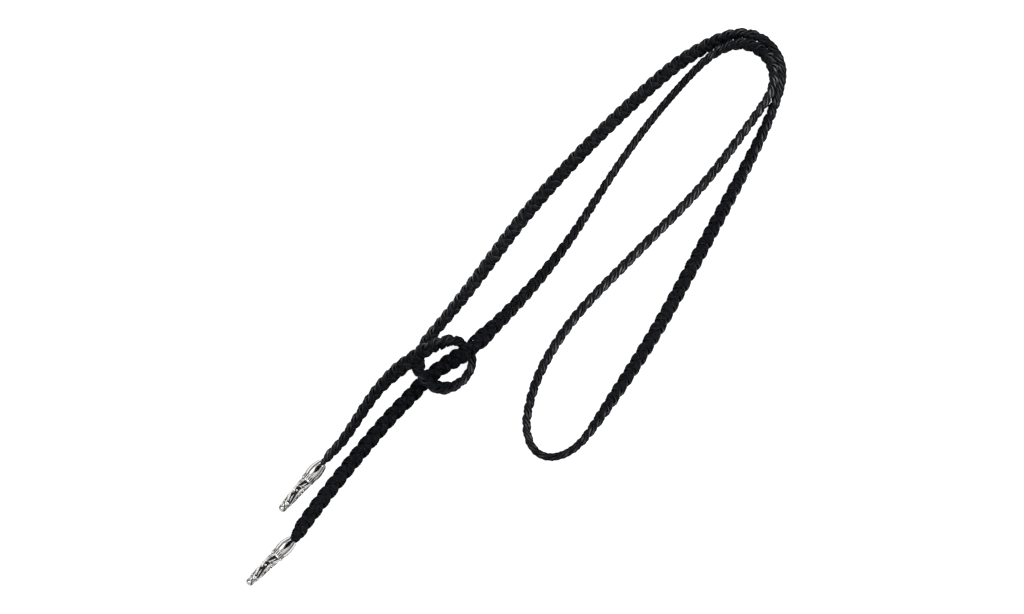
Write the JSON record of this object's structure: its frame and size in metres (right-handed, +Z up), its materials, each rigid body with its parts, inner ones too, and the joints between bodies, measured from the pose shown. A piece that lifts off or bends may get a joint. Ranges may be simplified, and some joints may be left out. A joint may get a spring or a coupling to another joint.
{
  "type": "braided leather lariat necklace",
  "caption": "Flat braided leather cord necklace, doubled into loops with a hitched ring near one end, a cast silver tip on each end.",
  "frame": {"origin": "middle of the necklace's bounding box, on the surface that it lies on", "axes": "+Z up from the surface, +Y along the necklace's length, away from the tips; +X across it"},
  "size_m": [0.0862, 0.3169, 0.0116],
  "materials": {
    "leather": "satin, near black with worn light flecks",
    "silver": "polished relief over dark oxidised recesses"
  },
  "bodies": {
    "root": {"leather_strand_1": "leather", "leather_strand_2": "leather", "leather_strand_3": "leather", "silver_tip_a": "silver", "silver_tip_b": "silver"}
  },
  "joints": []
}
